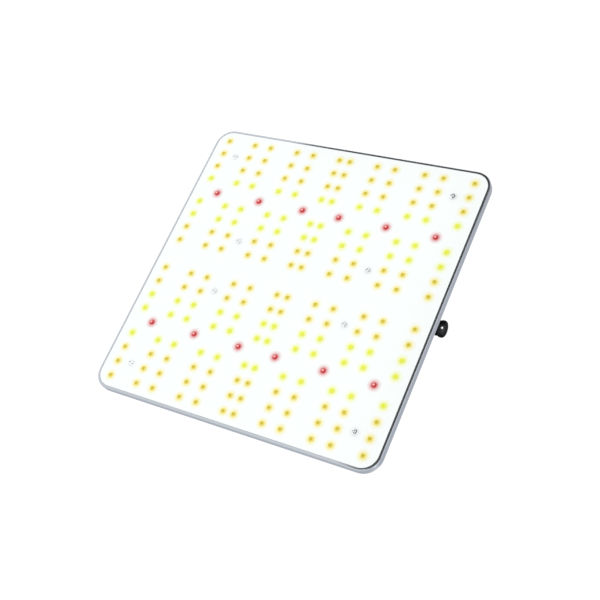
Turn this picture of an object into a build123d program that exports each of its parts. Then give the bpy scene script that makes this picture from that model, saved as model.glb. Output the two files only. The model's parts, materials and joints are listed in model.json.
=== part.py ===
from build123d import *
import os

# Square LED grow light, 300 mm across, in millimetres.
#
# The light hangs level with its LEDs facing down. +Z is up, +X points to the end with the dimmer knob, and
# the origin is at the middle of the four hanging rings, at the height of their pivots.
# From the bottom up it is built of: LEDs, white LED board, thermal pad, a shallow aluminium tray whose floor
# spreads the heat, four fin blocks, and a long driver case with a mains inlet at -X and a dimmer at +X.

# ---------------------------------------------------------------- driving dimensions: the panel
PANEL_SIDE = 300.0
PANEL_CORNER_R = 17.5
RIM_WIDTH = 2.5
RIM_HEIGHT = 8.0
RIM_FRONT_ROUND = 1.3
RIM_BACK_CHAMFER = 1.0
BOARD_THICKNESS = 1.6
BOARD_GAP = 0.2
PAD_THICKNESS = 0.5
PAD_MARGIN = 4.0
FLOOR_THICKNESS = 2.5

# Cutting shapes run past the surfaces that they open by this much.
OVER = 1.0
# Clearance round parts that fit in an opening without touching.
LOOSE_FIT = 0.2

# Heights, measured up from the pivots of the hanging rings.
PIVOT_HEIGHT = 2.8
Z_BACK = -PIVOT_HEIGHT
Z_FRONT = Z_BACK - RIM_HEIGHT
Z_BOARD_BACK = Z_FRONT + BOARD_THICKNESS
Z_FLOOR_FRONT = Z_BOARD_BACK + PAD_THICKNESS
Z_FLOOR_BACK = Z_FLOOR_FRONT + FLOOR_THICKNESS

# ---------------------------------------------------------------- driving dimensions: the LEDs
LED_SIDE = 3.5
LED_HEIGHT = 0.8
LED_WINDOW_SIDE = 3.0
LED_WINDOW_ROUND = 0.9
LED_WINDOW_DEPTH = 0.5
LED_CORNER_CUT = 0.6
RED_BASE_HEIGHT = 0.7
RED_LENS_R = 1.45
RED_LENS_SINK = 0.1

# Columns run in pairs about these centres, with one more column near each side edge.
PAIR_CENTRES = (0.0, 44.6, 94.1)
PAIR_HALF_GAPS = (5.6, 9.3, 9.4)
EDGE_COLUMN = 134.3
ROW_PITCH = 15.4
INNER_FIRST_ROW = 16.3
OUTER_LAST_ROW = 136.5
RED_ROW = 74.9
RED_COLUMNS = (19.8, 69.4, 119.0)

# ---------------------------------------------------------------- driving dimensions: fasteners
SCREW_R = 1.5
SCREW_HOLE_R = 1.7
THREAD_GAP = 0.05
HEAD_R = 3.0
HEAD_HEIGHT = 2.0
HEAD_ROUND = 1.5
HEAD_SLOT_LENGTH = 1.15
HEAD_SLOT_WIDTH = 0.26
HEAD_SLOT_DEPTH = 0.45
SMALL_HEAD_R = 2.7
SMALL_HEAD_HEIGHT = 1.8
NUT_FLATS = 5.5
NUT_HEIGHT = 2.4
CORNER_SCREW_XY = 119.3
CORNER_SCREW_LENGTH = 12.0
DRIVER_SCREW_X = 70.0
DRIVER_SCREW_Y = 28.2
DRIVER_SCREW_LENGTH = 14.0

# ---------------------------------------------------------------- driving dimensions: straps and rings
STRAP_WIDTH = 13.0
STRAP_THICKNESS = 1.2
STRAP_EYE_TO_SCREW = 12.0
STRAP_RIVET_FROM_SCREW = 9.6
STRAP_TAIL = 5.0
STRAP_TAIL_ROUND = 3.9
STRAP_SLIT = 0.5
RING_WIRE_R = 1.5
RING_WIDTH = 19.0
RING_SIDE = 8.0
RING_BEND_R = 2.6
RING_DROOP = 3.4
EYE_GAP = 0.1
RIVET_R = 1.5
RIVET_DEPTH = 4.0
RIVET_HEAD_R = 2.8
RIVET_HEAD_HEIGHT = 0.9
RIVET_HEAD_ROUND = 0.5
RIVET_TIP_GAP = 0.4
STRAP_LAND_MARGIN = 2.5

# ---------------------------------------------------------------- driving dimensions: fin blocks
FIN_BASE = 1.6
FIN_TOP_ABOVE_RIM = 6.0
FIN_THICKNESS = 1.4
FIN_PITCH = 7.0
FIN_END_CHAMFER = 3.0
INNER_FINS_X = 276.0
INNER_FINS_Y = (41.0, 84.4)
OUTER_FINS_X = 202.0
OUTER_FINS_Y = (86.0, 143.4)
FIN_SCREW_POCKET_R = 4.2
FIN_SCREW_INSET = 12.0
FIN_SCREW_LENGTH = 3.4
FIN_TAP_DEPTH = 2.0

# ---------------------------------------------------------------- driving dimensions: driver case
SEAL_THICKNESS = 0.8
CASE_LENGTH = 254.0
CASE_WIDTH = 68.0
CASE_HEIGHT = 29.0
CASE_WALL = 2.0
CASE_ROUND = 2.5
CASE_INNER_ROUND = 0.5
CASE_RIB_WIDTH = 8.0
CASE_RIB_HEIGHT = 5.0
CASE_PORT_R = 3.4
CASE_PORT_INSET = 5.5
CASE_PORT_ROUND = 1.5
BOARD_LEDGE = (1.6, 1.2)
BOARD_LEDGE_GAP = 0.3
END_SEAL = 1.0
END_CAP = 2.0
END_SEAL_INSET = 0.5
END_SEAL_BORDER = 10.5
END_SCREW_LENGTH = 10.0
SCREW_TIP_GAP = 1.0
BLIND_HOLE_FLOOR = 0.8
CASE_SEAL_INSET = 1.0
GROOVE_WIDTH = 1.2
GROOVE_DEPTH = 0.8
GROOVE_PITCH = 3.0
TOP_GROOVES = 5
TOP_GROOVE_INSET = 4.5
SIDE_GROOVES = 7
LAND_MARGIN = 3.0
WINDOW_X = 94.0
WINDOW_SIDE = 16.0

Z_CASE_BOTTOM = Z_BACK + SEAL_THICKNESS
Z_CASE_FLOOR = Z_CASE_BOTTOM + CASE_WALL
Z_CASE_TOP = Z_CASE_BOTTOM + CASE_HEIGHT
Z_CASE_MIDDLE = Z_CASE_BOTTOM + CASE_HEIGHT / 2
Z_DRIVER_BOARD = Z_CASE_FLOOR + CASE_RIB_HEIGHT
X_CASE_END = CASE_LENGTH / 2
X_SEAL_END = X_CASE_END + END_SEAL
X_CAP_END = X_SEAL_END + END_CAP

# ---------------------------------------------------------------- driving dimensions: dimmer
KNOB_END_X = PANEL_SIDE / 2 + 1.3
KNOB_BACK_X = X_CAP_END + 3.0
KNOB_BODY_R = 7.1
KNOB_BEAD_R = 7.9
KNOB_BEAD_LENGTH = 4.2
KNOB_EDGE_ROUND = 2.4
KNOB_FLUTES = 20
KNOB_FLUTE_R = 0.55
KNOB_BEAD_SLOPE = 1.2
KNOB_BEAD_BACK_ROUND = 0.6
KNOB_FLUTE_OUTSET = 0.15
KNOB_FLUTE_END = 2.2
KNOB_BORE_R = 3.02
GRUB_FROM_BACK = 5.0
GRUB_SINK = 0.8
SHAFT_R = 3.0
SHAFT_GAP = 0.05
SHAFT_END_X = KNOB_END_X - 4.0
SHAFT_CHAMFER = 0.5
MARKER_R = 1.0
MARKER_DEPTH = 0.8
# The marker sits on the knob's rounded shoulder. At rest it is nearly straight down, leaning to +Y.
MARKER_SLOPE = 50.0
MARKER_TURN = -75.0
BUSHING_R = 3.5
POT_R = 8.0
POT_LENGTH = 8.5
POT_NUT_FLATS = 10.0
POT_NUT_HEIGHT = 2.2
POT_COLLAR = 1.6
POT_BACK_WALL = 1.0
POT_TAB_Z = -9.5
POT_TAB_X = (X_CASE_END - 4.0, X_CASE_END - 3.2)
POT_TAB_HALF = 0.7
POT_TAB_ROOT = 1.5
POT_TABS_Y = (-3.5, 0.0, 3.5)

# ---------------------------------------------------------------- driving dimensions: mains inlet
INLET_FLANGE = (50.0, 22.5)
INLET_FLANGE_THICKNESS = 2.0
INLET_FLANGE_ROUND = 4.0
INLET_BODY = (27.6, 19.6)
INLET_RECESS = (24.6, 16.4)
INLET_RECESS_DEPTH = 15.7
INLET_BODY_DEPTH = 17.5
INLET_CORNER_CUT = 4.0
INLET_SCREW_Y = 20.0
INLET_SCREW_LENGTH = 8.0
PIN_SECTION = (2.0, 4.0)
PIN_REACH = 13.5
PIN_TAIL = 8.0
LIVE_PIN_Y = 7.0
PIN_OFFSET_Z = 2.0
PIN_TIP_CHAMFER = 0.5

# ---------------------------------------------------------------- driving dimensions: driver electronics
DRIVER_BOARD_X = (-84.0, 78.0)
DRIVER_BOARD_WIDTH = 62.0
DRIVER_BOARD_THICKNESS = 1.6
Z_PARTS = Z_DRIVER_BOARD + DRIVER_BOARD_THICKNESS

# Parts on the driver board: middles are (x, y), and block sizes are (x, y, z).
TERMINAL_BLOCKS = (
    ((-79.0, -8.0), (8.0, 18.0, 9.0)),
    ((72.0, 0.0), (8.0, 12.0, 8.0)),
    ((73.0, -24.0), (5.0, 10.0, 6.0)),
)
FILM_CAPACITORS = (((-58.0, 8.0), (18.0, 8.0, 14.0)), ((54.0, -10.0), (6.0, 12.0, 9.0)))
CONTROL_CHIPS = (((14.0, -24.0), (8.0, 5.0, 1.6)), ((66.0, -20.0), (8.0, 5.0, 1.6)))
BULK_CAPACITORS = ((-34.0, -14.0), (-34.0, 6.0))
BULK_CAN = (8.0, 17.0)
OUTPUT_CAPACITORS = ((34.0, -16.0), (34.0, -4.0), (34.0, 8.0))
OUTPUT_CAN = (5.0, 15.0)
CAN_ROUND = 0.8
# Each choke is a ring: its middle, outer radius, inner radius and height.
CHOKES = (((-56.0, -12.0), 9.0, 4.0, 9.0), ((50.0, 8.0), 7.5, 3.2, 8.0))
CHOKE_ROUND = 1.2
FUSE_MIDDLE = (-76.0, 20.0)
FUSE_R = 2.6
FUSE_GLASS = 12.0
FUSE_END = 3.0
FUSE_CLIP = (2.4, 5.0, 0.7)
POWER_DEVICES_X = (-40.0, -14.0, 32.0)
POWER_DEVICE = (10.5, 4.6, 14.0)
POWER_ROW_Y = 18.4
SPREADER_X = (-50.0, 42.0)
SPREADER_THICKNESS = 3.0
SPREADER_HEIGHTS = (1.0, 15.0)
TRANSFORMER_X = 6.0
TRANSFORMER_CORE = (32.0, 28.0, 16.0)
TRANSFORMER_WINDOW = 18.0
TRANSFORMER_LEG = 4.0

# ---------------------------------------------------------------- driving dimensions: leads inside the case
LEAD_R = 0.9
LEAD_HEIGHT = 4.0
LEAD_Y = (-2.5, 2.5)
LEAD_START_X = 76.0
LEAD_BEND_R = 6.0
CONNECTOR = (12.0, 10.0)
CONNECTOR_SINK = 0.6
PLUG_INSET = 1.0
PLUG_HEIGHT = 4.0
MAINS_LEAD_END_X = -83.0
MAINS_LEADS_Y = (-13.0, -3.0, -8.0)
MAINS_LEAD_STEP = 2.5
MAINS_LEAD_BEND_R = 3.2
DIMMER_LEAD_R = 0.6
DIMMER_LEADS_Y = (-27.0, -24.0, -21.0)
DIMMER_LEAD_END_X = 75.5
DIMMER_LEAD_RUNS = (0.4, 12.0, 34.0)
DIMMER_LEAD_BEND_R = 8.0

QUARTERS = ((-1, -1), (1, -1), (-1, 1), (1, 1))
SIDE_NAMES = {-1: "left", 1: "right"}
END_NAMES = {-1: "front", 1: "back"}


# ================================================================ helpers
def rounded_plate(size_x, size_y, corner, z_low, z_high):
    return Pos(0, 0, z_low) * extrude(RectangleRounded(size_x, size_y, corner), amount=z_high - z_low)


def block(x, y, z):
    """A box between two limits along each axis."""
    size = [b - a for a, b in (x, y, z)]
    middle = [(a + b) / 2 for a, b in (x, y, z)]
    return Pos(*middle) * Box(*size)


def post(x, y, z_low, z_high, radius):
    """An upright cylinder."""
    return Pos(x, y, z_low) * Cylinder(radius, z_high - z_low, align=(Align.CENTER, Align.CENTER, Align.MIN))


def rod(x_low, x_high, y, z, radius):
    """A cylinder along X."""
    length = x_high - x_low
    return Pos(x_low, y, z) * Rot(0, 90, 0) * Cylinder(
        radius, length, align=(Align.CENTER, Align.CENTER, Align.MIN)
    )


def group(solids):
    return Compound(children=list(solids))


def mirrored(points):
    """Each (x, y) in all four quarters of the panel."""
    return [(sx * x, sy * y) for sx, sy in QUARTERS for x, y in points]


def pan_screw(length, radius=SCREW_R, head_r=HEAD_R, head_height=HEAD_HEIGHT):
    """A cross-recess pan-head screw: the head stands below z = 0 and the shank points up."""
    head = Pos(0, 0, -head_height / 2) * Cylinder(head_r, head_height)
    head = fillet(head.edges().group_by(Axis.Z)[0], HEAD_ROUND * head_height / HEAD_HEIGHT)
    slot_depth = HEAD_SLOT_DEPTH * head_height
    slot = Box(HEAD_SLOT_LENGTH * head_r, HEAD_SLOT_WIDTH * head_r, slot_depth)
    for turn in (0, 90):
        head -= Pos(0, 0, -head_height + slot_depth / 2) * Rot(0, 0, turn) * slot
    return head + post(0, 0, 0, length, radius)


def hex_nut(flats, height, hole_r):
    """A hexagon nut standing on z = 0."""
    body = extrude(RegularPolygon(flats / 2, 6, major_radius=False), amount=height)
    return body - post(0, 0, -OVER, height + OVER, hole_r)


def route(points, radius, radii):
    """A round lead along straight runs joined by arcs."""
    path = FilletPolyline(*points, radius=radii)
    start = Plane(origin=path @ 0, z_dir=path % 0)
    return sweep(start * Circle(radius), path=path)


# ================================================================ the tray and what lies in it
BOARD_SCREWS = mirrored([(CORNER_SCREW_XY, CORNER_SCREW_XY), (DRIVER_SCREW_X, DRIVER_SCREW_Y)])
CORNER_SCREWS = mirrored([(CORNER_SCREW_XY, CORNER_SCREW_XY)])
DRIVER_SCREWS = mirrored([(DRIVER_SCREW_X, DRIVER_SCREW_Y)])
STRAP_EYE_Y = CORNER_SCREW_XY - STRAP_EYE_TO_SCREW
STRAP_RIVET_Y = CORNER_SCREW_XY + STRAP_RIVET_FROM_SCREW
STRAP_END_Y = STRAP_RIVET_Y + STRAP_TAIL


def fin_screw_points():
    """Two screws hold each end of every fin block."""
    inner = sum(INNER_FINS_Y) / 2
    outer = sum(OUTER_FINS_Y) / 2
    return mirrored(
        [(INNER_FINS_X / 2 - FIN_SCREW_INSET, inner), (OUTER_FINS_X / 2 - FIN_SCREW_INSET, outer)]
    )


def window(z_low, z_high):
    """The opening that the LED leads pass through."""
    half = WINDOW_SIDE / 2
    return block((WINDOW_X - half, WINDOW_X + half), (-half, half), (z_low, z_high))


def make_tray():
    inner_side = PANEL_SIDE - 2 * RIM_WIDTH
    inner_corner = PANEL_CORNER_R - RIM_WIDTH
    tray = rounded_plate(PANEL_SIDE, PANEL_SIDE, PANEL_CORNER_R, Z_FRONT, Z_BACK)
    tray = fillet(tray.edges().group_by(Axis.Z)[0], RIM_FRONT_ROUND)
    tray = chamfer(tray.edges().group_by(Axis.Z)[-1], RIM_BACK_CHAMFER)
    tray -= rounded_plate(inner_side, inner_side, inner_corner, Z_FRONT - OVER, Z_FLOOR_FRONT)
    tray -= rounded_plate(inner_side, inner_side, inner_corner, Z_FLOOR_BACK, Z_BACK + OVER)
    land_x = X_CAP_END + LAND_MARGIN
    land_y = CASE_WIDTH / 2 + LAND_MARGIN
    tray += rounded_plate(2 * land_x, 2 * land_y, LAND_MARGIN, Z_FLOOR_BACK, Z_BACK)
    ring_reach = RING_SIDE + RING_WIDTH / 2
    land_low = STRAP_EYE_Y - ring_reach - STRAP_LAND_MARGIN
    land_high = STRAP_END_Y + STRAP_LAND_MARGIN
    strap_land = rounded_plate(
        RING_WIDTH + 2 * STRAP_LAND_MARGIN, land_high - land_low, STRAP_LAND_MARGIN, Z_FLOOR_BACK, Z_BACK
    )
    for sx, sy in QUARTERS:
        tray += Pos(sx * CORNER_SCREW_XY, sy * (land_low + land_high) / 2, 0) * strap_land
    for x, y in BOARD_SCREWS:
        tray -= post(x, y, Z_FRONT, Z_BACK + OVER, SCREW_HOLE_R)
    for sx, sy in QUARTERS:
        tray -= post(sx * CORNER_SCREW_XY, sy * STRAP_RIVET_Y, Z_BACK - RIVET_DEPTH, Z_BACK + OVER, RIVET_R)
    for x, y in fin_screw_points():
        tray -= post(x, y, Z_FLOOR_BACK - FIN_TAP_DEPTH, Z_FLOOR_BACK + OVER, SCREW_R + THREAD_GAP)
    return tray - window(Z_FRONT, Z_BACK + OVER)


def make_led_board():
    side = PANEL_SIDE - 2 * RIM_WIDTH - 2 * BOARD_GAP
    board = rounded_plate(side, side, PANEL_CORNER_R - RIM_WIDTH - BOARD_GAP, Z_FRONT, Z_BOARD_BACK)
    for x, y in BOARD_SCREWS:
        board -= post(x, y, Z_FRONT - OVER, Z_BOARD_BACK + OVER, SCREW_HOLE_R)
    return board


def make_board_screws(places, length):
    return group([Pos(x, y, Z_FRONT) * pan_screw(length) for x, y in places])


def make_thermal_pad():
    side = PANEL_SIDE - 2 * RIM_WIDTH - 2 * PAD_MARGIN
    pad = rounded_plate(side, side, PANEL_CORNER_R - PAD_MARGIN, Z_BOARD_BACK, Z_FLOOR_FRONT)
    for x, y in BOARD_SCREWS:
        pad -= post(x, y, Z_BOARD_BACK - OVER, Z_FLOOR_FRONT + OVER, HEAD_R)
    return pad - window(Z_BOARD_BACK - OVER, Z_FLOOR_FRONT + OVER)


# ================================================================ LEDs
def led_columns():
    pairs = [c + s * half for c, half in zip(PAIR_CENTRES, PAIR_HALF_GAPS) for s in (-1, 1)]
    return [x for x in pairs if x > 0] + [EDGE_COLUMN]


def led_rows(kind):
    """Rows of one quarter: warm ones by the middle and the edge, cool ones either side of the red row."""
    inner = [INNER_FIRST_ROW + k * ROW_PITCH for k in range(4)]
    outer = [OUTER_LAST_ROW - k * ROW_PITCH for k in range(4)]
    if kind == "warm":
        return inner[:2] + outer[:3]
    return inner[2:] + outer[3:]


def led_places(kind):
    return mirrored([(x, y) for y in led_rows(kind) for x in led_columns()])


def make_led_case():
    """One LED's square plastic case, hanging below z = 0, with its window and a cut corner."""
    outline = Rectangle(LED_SIDE, LED_SIDE)
    outline = chamfer(outline.vertices().sort_by(lambda v: v.X + v.Y)[-1:], LED_CORNER_CUT)
    return extrude(outline, amount=-LED_HEIGHT) - make_phosphor()


def make_phosphor():
    """The yellow silicone that fills the case's window, level with the case's face."""
    return rounded_plate(
        LED_WINDOW_SIDE, LED_WINDOW_SIDE, LED_WINDOW_ROUND, -LED_HEIGHT, -LED_HEIGHT + LED_WINDOW_DEPTH
    )


def make_red_base():
    return Pos(0, 0, -RED_BASE_HEIGHT / 2) * Box(LED_SIDE, LED_SIDE, RED_BASE_HEIGHT)


def make_red_lens():
    """A half-round silicone lens standing on the base."""
    lens = Pos(0, 0, -RED_BASE_HEIGHT + RED_LENS_SINK) * Sphere(RED_LENS_R)
    reach = (-2 * RED_LENS_R, 2 * RED_LENS_R)
    return lens & block(reach, reach, (-RED_BASE_HEIGHT - 2 * RED_LENS_R, -RED_BASE_HEIGHT))


def make_leds():
    red_places = mirrored([(x, RED_ROW) for x in RED_COLUMNS])
    singles = {
        "warm_white_led_cases": (make_led_case(), led_places("warm")),
        "warm_white_phosphors": (make_phosphor(), led_places("warm")),
        "cool_white_led_cases": (make_led_case(), led_places("cool")),
        "cool_white_phosphors": (make_phosphor(), led_places("cool")),
        "red_led_bases": (make_red_base(), red_places),
        "red_led_lenses": (make_red_lens(), red_places),
    }
    return {
        name: group([Pos(x, y, Z_FRONT) * solid for x, y in places])
        for name, (solid, places) in singles.items()
    }


# ================================================================ hanging straps and rings
def make_strap():
    """One folded steel strap, its eye at y = 0 and z = 0, its tail along +Y."""
    outer_r = RING_WIRE_R + EYE_GAP + STRAP_THICKNESS
    tail = STRAP_END_Y - STRAP_EYE_Y
    profile = Circle(outer_r)
    profile += Pos(tail / 2, -outer_r + STRAP_THICKNESS / 2) * Rectangle(tail, STRAP_THICKNESS)
    profile -= Circle(RING_WIRE_R + EYE_GAP)
    slit_z = -outer_r + STRAP_THICKNESS + STRAP_SLIT / 2
    profile -= Pos(outer_r / 2 + EYE_GAP, slit_z) * Rectangle(outer_r, STRAP_SLIT)
    strap = extrude(Plane.YZ * profile, amount=STRAP_WIDTH / 2, both=True)
    tail_edges = strap.edges().filter_by(Axis.Z).group_by(Axis.Y)[-1]
    strap = fillet(tail_edges, STRAP_TAIL_ROUND)
    for y in (STRAP_EYE_TO_SCREW, STRAP_EYE_TO_SCREW + STRAP_RIVET_FROM_SCREW):
        strap -= post(0, y, -outer_r - OVER, 0, SCREW_HOLE_R)
    return strap


def make_ring():
    """One D-shaped wire ring: its bar lies on the X axis and its bow droops to -Y, onto the tray."""
    half = RING_WIDTH / 2
    bend = RING_BEND_R
    bar = Line((-half + bend, 0), (half - bend, 0))
    corner_right = RadiusArc((half - bend, 0), (half, -bend), bend)
    side_right = Line((half, -bend), (half, -RING_SIDE))
    bow = ThreePointArc((half, -RING_SIDE), (0, -RING_SIDE - half), (-half, -RING_SIDE))
    side_left = Line((-half, -RING_SIDE), (-half, -bend))
    corner_left = RadiusArc((-half, -bend), (-half + bend, 0), bend)
    path = Wire([bar, corner_right, side_right, bow, side_left, corner_left])
    section = Plane(origin=(0, 0, 0), z_dir=(1, 0, 0)) * Circle(RING_WIRE_R)
    return Rot(RING_DROOP, 0, 0) * sweep(section, path=path)


def make_rivet():
    """A drive rivet: flat head above z = 0 and shank below."""
    head = post(0, 0, 0, RIVET_HEAD_HEIGHT, RIVET_HEAD_R)
    head = fillet(head.edges().group_by(Axis.Z)[-1], RIVET_HEAD_ROUND)
    return head + post(0, 0, -RIVET_DEPTH - STRAP_THICKNESS + RIVET_TIP_GAP, 0, RIVET_R)


def make_hangers():
    nodes = {}
    rivets, nuts = [], []
    z_strap_top = Z_BACK + STRAP_THICKNESS
    for sx, sy in QUARTERS:
        place = Pos(sx * CORNER_SCREW_XY, sy * STRAP_EYE_Y, 0)
        turn = Rot(0, 0, 0 if sy > 0 else 180)
        corner = f"{END_NAMES[sy]}_{SIDE_NAMES[sx]}"
        nodes[f"hanger_strap_{corner}"] = place * turn * make_strap()
        nodes[f"hanging_ring_{corner}"] = place * turn * make_ring()
        rivets.append(Pos(sx * CORNER_SCREW_XY, sy * STRAP_RIVET_Y, z_strap_top) * make_rivet())
        nut = hex_nut(NUT_FLATS, NUT_HEIGHT, SCREW_R + THREAD_GAP)
        nuts.append(Pos(sx * CORNER_SCREW_XY, sy * CORNER_SCREW_XY, z_strap_top) * nut)
    nodes["strap_rivets"] = group(rivets)
    nodes["strap_nuts"] = group(nuts)
    return nodes


# ================================================================ fin blocks
def make_fin_block(size_x, limits_y):
    """An extruded block of straight fins, with round pockets milled out for its screws."""
    low, high = limits_y
    z_base = Z_FLOOR_BACK + FIN_BASE
    z_top = Z_BACK + FIN_TOP_ABOVE_RIM
    body = block((-size_x / 2, size_x / 2), (low, high), (Z_FLOOR_BACK, z_base))
    count = int((high - low - FIN_THICKNESS) // FIN_PITCH) + 1
    first = (low + high) / 2 - (count - 1) * FIN_PITCH / 2
    for k in range(count):
        y = first + k * FIN_PITCH
        fin = block(
            (-size_x / 2, size_x / 2), (y - FIN_THICKNESS / 2, y + FIN_THICKNESS / 2), (z_base, z_top)
        )
        ends = fin.edges().filter_by(Axis.Y).group_by(Axis.Z)[-1]
        body += chamfer(ends, FIN_END_CHAMFER)
    middle = (low + high) / 2
    for sx in (-1, 1):
        x = sx * (size_x / 2 - FIN_SCREW_INSET)
        body -= post(x, middle, z_base, z_top + OVER, FIN_SCREW_POCKET_R)
        body -= post(x, middle, Z_FLOOR_BACK - OVER, z_base + OVER, SCREW_HOLE_R)
    return body


def make_fins():
    nodes = {}
    for sy in (-1, 1):
        for name, size_x, limits in (
            ("inner", INNER_FINS_X, INNER_FINS_Y),
            ("outer", OUTER_FINS_X, OUTER_FINS_Y),
        ):
            fins = make_fin_block(size_x, limits)
            nodes[f"{name}_fin_block_{END_NAMES[sy]}"] = Rot(0, 0, 0 if sy > 0 else 180) * fins
    screw = Rot(180, 0, 0) * pan_screw(FIN_SCREW_LENGTH)
    z_head = Z_FLOOR_BACK + FIN_BASE
    nodes["fin_block_screws"] = group([Pos(x, y, z_head) * screw for x, y in fin_screw_points()])
    return nodes


# ================================================================ driver case
PORT_Y = CASE_WIDTH / 2 - CASE_PORT_INSET
PORTS = [
    (sy * y, z)
    for sy in (-1, 1)
    for y, z in ((DRIVER_SCREW_Y, Z_CASE_FLOOR + CASE_RIB_HEIGHT / 2), (PORT_Y, Z_CASE_TOP - CASE_PORT_INSET))
]
PORT_HOLE_R = SCREW_R + THREAD_GAP


def case_grooves():
    """The decorative grooves along the top's two edges and both sides, as (y, z) rectangles."""
    shapes = []
    for sy in (-1, 1):
        for k in range(TOP_GROOVES):
            y = CASE_WIDTH / 2 - TOP_GROOVE_INSET - k * GROOVE_PITCH
            shapes.append(Pos(sy * y, Z_CASE_TOP - GROOVE_DEPTH / 2) * Rectangle(GROOVE_WIDTH, GROOVE_DEPTH))
        for k in range(SIDE_GROOVES):
            z = Z_CASE_MIDDLE + (k - (SIDE_GROOVES - 1) / 2) * GROOVE_PITCH
            place = Pos(sy * (CASE_WIDTH / 2 - GROOVE_DEPTH / 2), z)
            shapes.append(place * Rectangle(GROOVE_DEPTH, GROOVE_WIDTH))
    return shapes


def case_profile():
    """The case's section across its length, drawn as (y, z)."""
    middle = Pos(0, Z_CASE_MIDDLE)
    outer = middle * RectangleRounded(CASE_WIDTH, CASE_HEIGHT, CASE_ROUND)
    inner = middle * RectangleRounded(
        CASE_WIDTH - 2 * CASE_WALL, CASE_HEIGHT - 2 * CASE_WALL, CASE_INNER_ROUND
    )
    profile = outer - inner
    wall_y = CASE_WIDTH / 2 - CASE_WALL
    port_side = 2 * CASE_PORT_R + LOOSE_FIT
    port_z = Z_CASE_TOP - CASE_PORT_INSET + LOOSE_FIT
    ledge_y, ledge_z = BOARD_LEDGE
    ledge_low = Z_DRIVER_BOARD + DRIVER_BOARD_THICKNESS + BOARD_LEDGE_GAP
    for sy in (-1, 1):
        rib_place = Pos(sy * (wall_y - CASE_RIB_WIDTH / 2), Z_CASE_FLOOR + CASE_RIB_HEIGHT / 2)
        profile += rib_place * Rectangle(CASE_RIB_WIDTH, CASE_RIB_HEIGHT)
        port_place = Pos(sy * (PORT_Y + LOOSE_FIT), port_z)
        profile += port_place * RectangleRounded(port_side, port_side, CASE_PORT_ROUND)
        ledge_place = Pos(sy * (wall_y - ledge_y / 2), ledge_low + ledge_z / 2)
        profile += ledge_place * Rectangle(ledge_y, ledge_z)
    for groove in case_grooves():
        profile -= groove
    return profile


def make_driver_case():
    case = extrude(Plane.YZ * case_profile(), amount=X_CASE_END, both=True)
    case -= window(Z_CASE_BOTTOM - OVER, Z_CASE_FLOOR + OVER)
    for x, y in DRIVER_SCREWS:
        hole_top = Z_CASE_FLOOR + CASE_RIB_HEIGHT - BLIND_HOLE_FLOOR
        case -= post(x, y, Z_CASE_BOTTOM - OVER, hole_top, PORT_HOLE_R)
    depth = END_SCREW_LENGTH - END_CAP - END_SEAL + SCREW_TIP_GAP
    for y, z in PORTS:
        case -= rod(-X_CASE_END - OVER, -X_CASE_END + depth, y, z, PORT_HOLE_R)
        case -= rod(X_CASE_END - depth, X_CASE_END + OVER, y, z, PORT_HOLE_R)
    return case


def end_plate(x_low, x_high, inset=0.0):
    """A plate across the end of the case, with its four screw holes."""
    outline = Pos(0, Z_CASE_MIDDLE) * RectangleRounded(
        CASE_WIDTH - 2 * inset, CASE_HEIGHT - 2 * inset, CASE_ROUND - inset
    )
    plate = Pos(x_low, 0, 0) * extrude(Plane.YZ * outline, amount=x_high - x_low)
    for y, z in PORTS:
        plate -= rod(x_low - OVER, x_high + OVER, y, z, SCREW_HOLE_R)
    return plate


def make_end_seal(side):
    low, high = sorted((side * X_CASE_END, side * X_SEAL_END))
    seal = end_plate(low, high, inset=END_SEAL_INSET)
    opening = Box(END_SEAL + 2 * OVER, CASE_WIDTH - 2 * END_SEAL_BORDER, INLET_BODY[1] + 4 * LOOSE_FIT)
    return seal - Pos(side * (X_CASE_END + END_SEAL / 2), 0, Z_CASE_MIDDLE) * opening


def make_dimmer_cap():
    cap = end_plate(X_SEAL_END, X_CAP_END)
    return cap - rod(X_SEAL_END - OVER, X_CAP_END + OVER, 0, Z_CASE_MIDDLE, BUSHING_R + LOOSE_FIT)


def make_inlet_cap():
    cap = end_plate(-X_CAP_END, -X_SEAL_END)
    opening = Box(END_CAP + 2 * OVER, INLET_BODY[0] + 2 * LOOSE_FIT, INLET_BODY[1] + 2 * LOOSE_FIT)
    cap -= Pos(-X_SEAL_END - END_CAP / 2, 0, Z_CASE_MIDDLE) * opening
    for sy in (-1, 1):
        y = sy * INLET_SCREW_Y
        cap -= rod(-X_CAP_END - OVER, -X_SEAL_END + OVER, y, Z_CASE_MIDDLE, SCREW_HOLE_R)
    return cap


def make_case_seal():
    """The flat seal between the driver case and the tray."""
    half_x, half_y = X_CASE_END - CASE_SEAL_INSET, CASE_WIDTH / 2 - CASE_SEAL_INSET
    seal = rounded_plate(2 * half_x, 2 * half_y, CASE_ROUND, Z_BACK, Z_CASE_BOTTOM)
    for x, y in DRIVER_SCREWS:
        seal -= post(x, y, Z_BACK - OVER, Z_CASE_BOTTOM + OVER, SCREW_HOLE_R)
    return seal - window(Z_BACK - OVER, Z_CASE_BOTTOM + OVER)


def make_end_screws():
    screw = pan_screw(END_SCREW_LENGTH, head_r=SMALL_HEAD_R, head_height=SMALL_HEAD_HEIGHT)
    return [
        Pos(side * X_CAP_END, y, z) * Rot(0, -90 * side, 0) * screw for side in (-1, 1) for y, z in PORTS
    ]


# ================================================================ dimmer
X_POT_FRONT = X_CASE_END - POT_BACK_WALL
X_POT_BACK = X_POT_FRONT - POT_LENGTH
X_BUSHING_END = KNOB_BACK_X - 3 * LOOSE_FIT


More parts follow.
